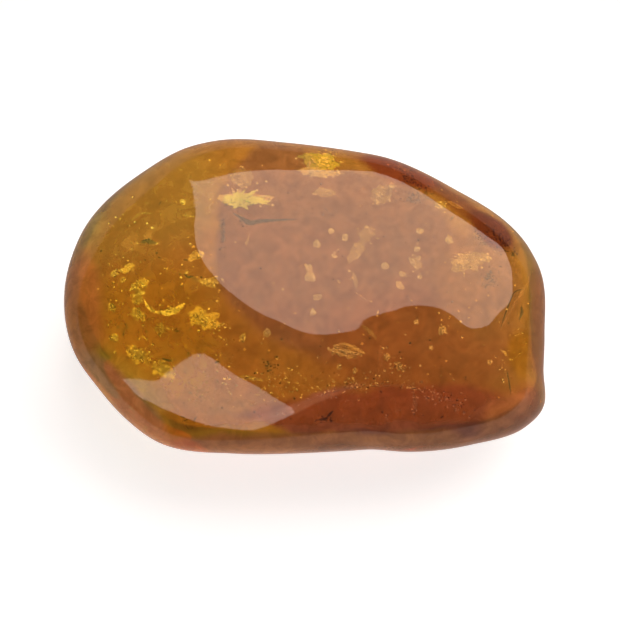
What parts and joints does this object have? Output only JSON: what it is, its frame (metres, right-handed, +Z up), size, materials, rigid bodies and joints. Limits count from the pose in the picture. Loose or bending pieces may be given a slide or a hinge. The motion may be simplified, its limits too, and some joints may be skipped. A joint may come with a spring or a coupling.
{
  "type": "polished amber pebble",
  "caption": "Polished pebble of clear honey-brown amber with softly worn faces, lying on a small flat.",
  "frame": {"origin": "centre of the bounding box in X and Y, on the flat that the stone lies on", "axes": "+X along the stone's length, +Y away from the eye that the picture was taken from, +Z up through its thickness"},
  "size_m": [0.0482, 0.034, 0.0182],
  "materials": {
    "amber": "polished"
  },
  "bodies": {
    "root": {"amber_pebble": "amber"}
  },
  "joints": []
}
